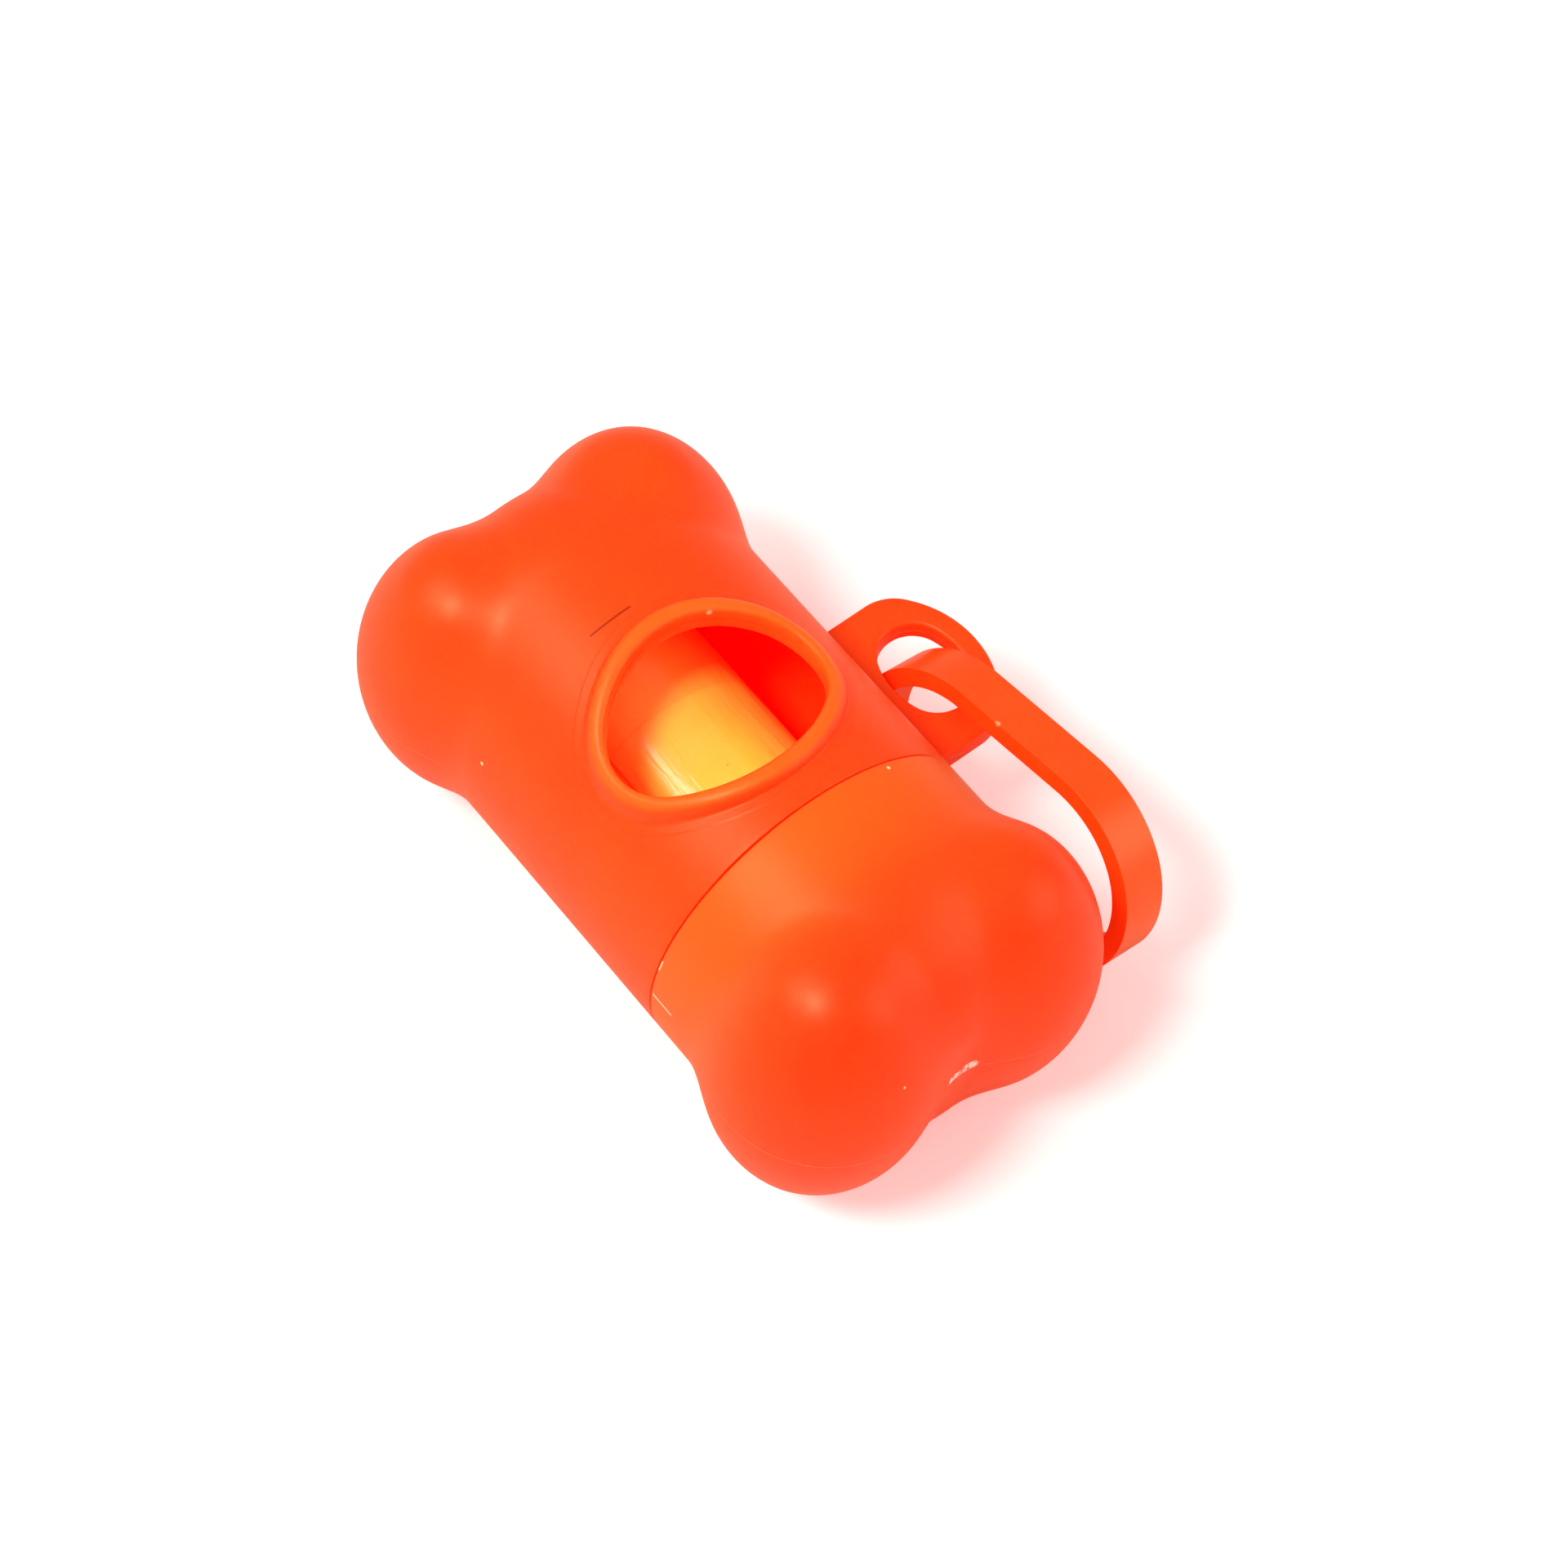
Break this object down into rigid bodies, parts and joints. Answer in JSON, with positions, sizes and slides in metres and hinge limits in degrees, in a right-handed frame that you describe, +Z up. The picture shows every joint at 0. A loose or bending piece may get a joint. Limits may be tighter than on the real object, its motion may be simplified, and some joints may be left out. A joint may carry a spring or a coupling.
{
  "type": "bag dispenser",
  "caption": "Bone-shaped shell with a pull-off end cap that holds a roll of waste bags, fed out through an oval opening, with an oval snap clip on a side lug.",
  "frame": {"origin": "on the axis of the barrel, halfway along the bone, in the middle of the roll chamber", "axes": "+X along the bone towards the end cap, +Y across the bone towards the lug and clip, +Z up out of the dispensing opening"},
  "size_m": [0.0818, 0.0545, 0.0402],
  "materials": {
    "shell_plastic": "orange moulded polypropylene, soft satin sheen",
    "clip_plastic": "orange moulded nylon-like plastic, soft satin sheen",
    "core_board": "brown wound cardboard, matt",
    "bag_film": "yellow polyethylene film, soft sheen"
  },
  "bodies": {
    "shell": {"body_shell": "shell_plastic"},
    "cap": {"end_cap": "shell_plastic"},
    "roll": {"bag_core": "core_board", "bag_roll": "bag_film", "leading_bag": "bag_film"},
    "clip": {"clip_ring": "clip_plastic"},
    "gate": {"clip_gate": "clip_plastic"}
  },
  "joints": [
    {"name": "cap_pull", "type": "slide", "parent": "shell", "child": "cap", "axis": [1, 0, 0], "range_m": [0, 0.04]},
    {"name": "roll_spin", "type": "hinge", "parent": "shell", "child": "roll", "pos_m": [0, 0, -0.0043], "axis": [1, 0, 0], "continuous": true},
    {"name": "clip_swing", "type": "hinge", "parent": "shell", "child": "clip", "pos_m": [0.00856, 0.0243, -0.00674], "axis": [0.0423, -0.9658, 0.2557], "range_deg": [-115, 45]},
    {"name": "gate_open", "type": "hinge", "parent": "clip", "child": "gate", "pos_m": [0.02342, 0.0224, -0.01637], "axis": [-0.0423, 0.9658, -0.2557], "range_deg": [0, 30], "stiffness_Nm_per_rad": 0.05}
  ]
}
